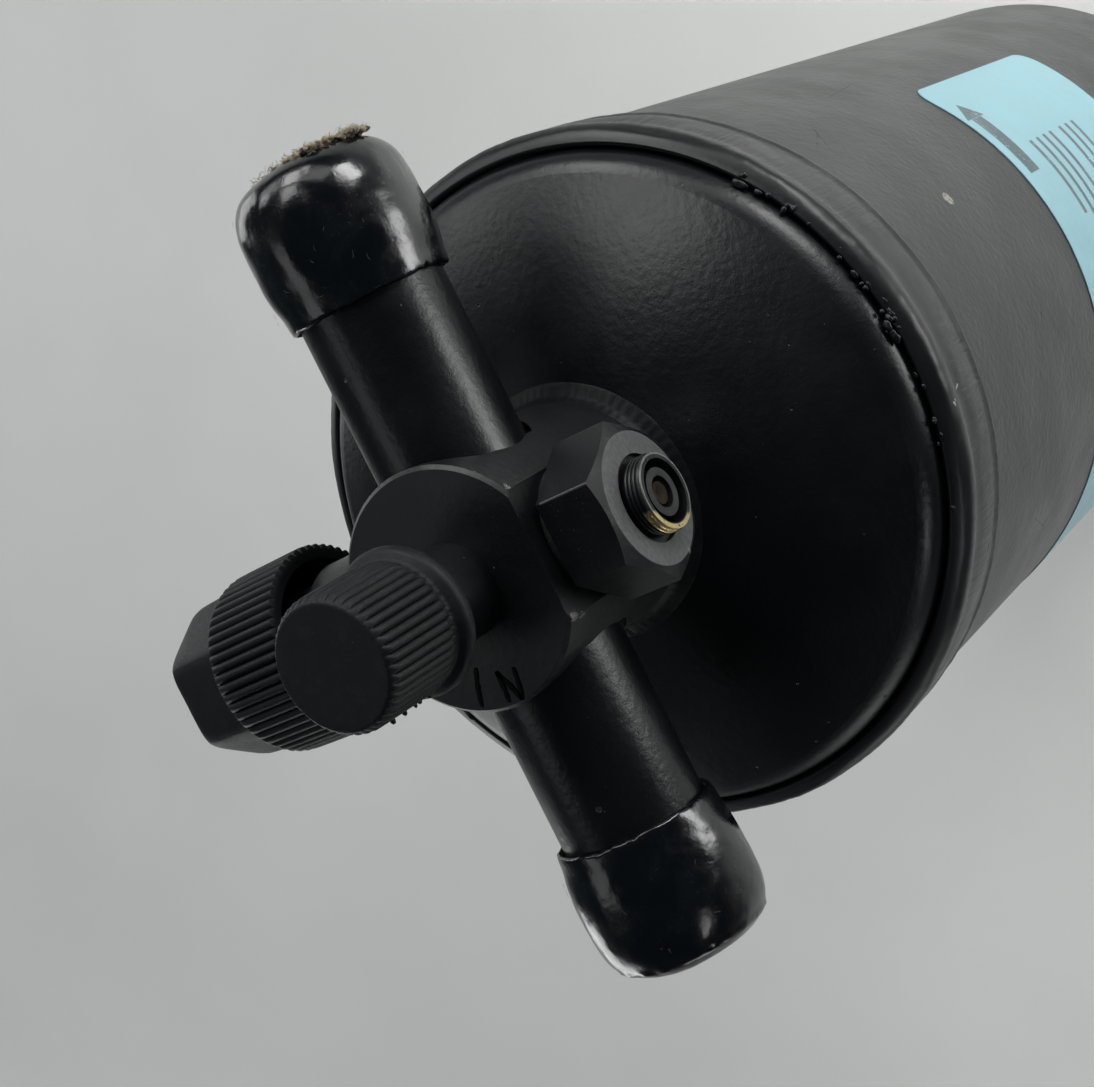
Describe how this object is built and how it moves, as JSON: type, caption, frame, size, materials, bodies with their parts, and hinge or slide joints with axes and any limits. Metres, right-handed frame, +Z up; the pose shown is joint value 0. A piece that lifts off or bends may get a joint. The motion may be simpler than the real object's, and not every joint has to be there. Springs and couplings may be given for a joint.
{
  "type": "filter drier",
  "caption": "Black steel receiver drier can with a convex welded end, a round head block, capped line stubs, ribbed-cap service ports and a hexagon switch port.",
  "frame": {"origin": "centre of the can's foot, on the can axis", "axes": "+Z up the can axis to the head, +X the inlet line stub, -X the outlet line stub, +Y the switch port, -Y the larger service port"},
  "size_m": [0.1156, 0.104, 0.2683],
  "materials": {
    "black_paint": "satin black paint with fine orange peel",
    "vinyl": "glossy soft black vinyl",
    "cap_plastic": "matt moulded black",
    "port_metal": "black finish, bare where worn",
    "core_brass": "plated brass",
    "pin_steel": "satin",
    "spring_steel": "bright wire",
    "inner_steel": "plain mill",
    "seal_rubber": "matt",
    "felt": "pressed felt",
    "desiccant": "bead bed",
    "label_film": "satin film"
  },
  "bodies": {
    "root": {"can_shell": "black_paint", "top_dome": "black_paint", "girth_weld_bead": "black_paint", "head_block": "black_paint", "head_weld_ring": "black_paint", "inlet_stub": "black_paint", "outlet_stub": "black_paint", "switch_port_body": "port_metal", "switch_port_oring": "seal_rubber", "switch_core_body": "core_brass", "switch_core_spring": "spring_steel", "charge_port_body": "port_metal", "charge_core_body": "core_brass", "charge_core_spring": "spring_steel", "service_port_body": "port_metal", "service_core_body": "core_brass", "service_core_spring": "spring_steel", "pickup_tube": "inner_steel", "bed_spring": "spring_steel", "upper_screen_plate": "inner_steel", "lower_screen_plate": "inner_steel", "upper_filter_pad": "felt", "lower_filter_pad": "felt", "desiccant_bed": "desiccant", "label": "label_film"},
    "inlet_cap": {"inlet_vinyl_cap": "vinyl"},
    "outlet_cap": {"outlet_vinyl_cap": "vinyl"},
    "charge_cap_seal": {"charge_cap_gasket": "seal_rubber"},
    "charge_cap": {"charge_port_cap": "cap_plastic"},
    "service_cap_seal": {"service_cap_gasket": "seal_rubber"},
    "service_cap": {"service_port_cap": "cap_plastic"},
    "switch_pin": {"switch_core_pin": "pin_steel"},
    "charge_pin": {"charge_core_pin": "pin_steel"},
    "service_pin": {"service_core_pin": "pin_steel"}
  },
  "joints": [
    {"name": "inlet_cap_pull", "type": "slide", "parent": "root", "child": "inlet_cap", "axis": [1, 0, 0], "range_m": [0, 0.02]},
    {"name": "outlet_cap_pull", "type": "slide", "parent": "root", "child": "outlet_cap", "axis": [-1, 0, 0], "range_m": [0, 0.02]},
    {"name": "charge_cap_lift", "type": "slide", "parent": "root", "child": "charge_cap_seal", "axis": [0, 0, 1], "range_m": [0, 0.0101]},
    {"name": "charge_cap_turn", "type": "hinge", "parent": "charge_cap_seal", "child": "charge_cap", "pos_m": [0, 0, 0.26], "axis": [0, 0, 1], "range_deg": [0, 3600]},
    {"name": "service_cap_lift", "type": "slide", "parent": "root", "child": "service_cap_seal", "axis": [0, -1, 0], "range_m": [0, 0.0136]},
    {"name": "service_cap_turn", "type": "hinge", "parent": "service_cap_seal", "child": "service_cap", "pos_m": [0, -0.04, 0.2324], "axis": [0, -1, 0], "range_deg": [0, 3888]},
    {"name": "switch_pin_press", "type": "slide", "parent": "root", "child": "switch_pin", "axis": [0, -1, 0], "range_m": [0, 0.0015], "stiffness_N_per_m": 2500, "springref_m": -0.001, "deforming": ["switch_core_spring"]},
    {"name": "charge_pin_press", "type": "slide", "parent": "root", "child": "charge_pin", "axis": [0, 0, -1], "range_m": [0, 0.0015], "stiffness_N_per_m": 2500, "springref_m": -0.001, "deforming": ["charge_core_spring"]},
    {"name": "service_pin_press", "type": "slide", "parent": "root", "child": "service_pin", "axis": [0, 1, 0], "range_m": [0, 0.0015], "stiffness_N_per_m": 2500, "springref_m": -0.001, "deforming": ["service_core_spring"]}
  ],
  "couplings": [
    {"joint": "charge_cap_lift", "follows": "charge_cap_turn", "m_per_rad": 0.00015915},
    {"joint": "service_cap_lift", "follows": "service_cap_turn", "m_per_rad": 0.00019894}
  ]
}
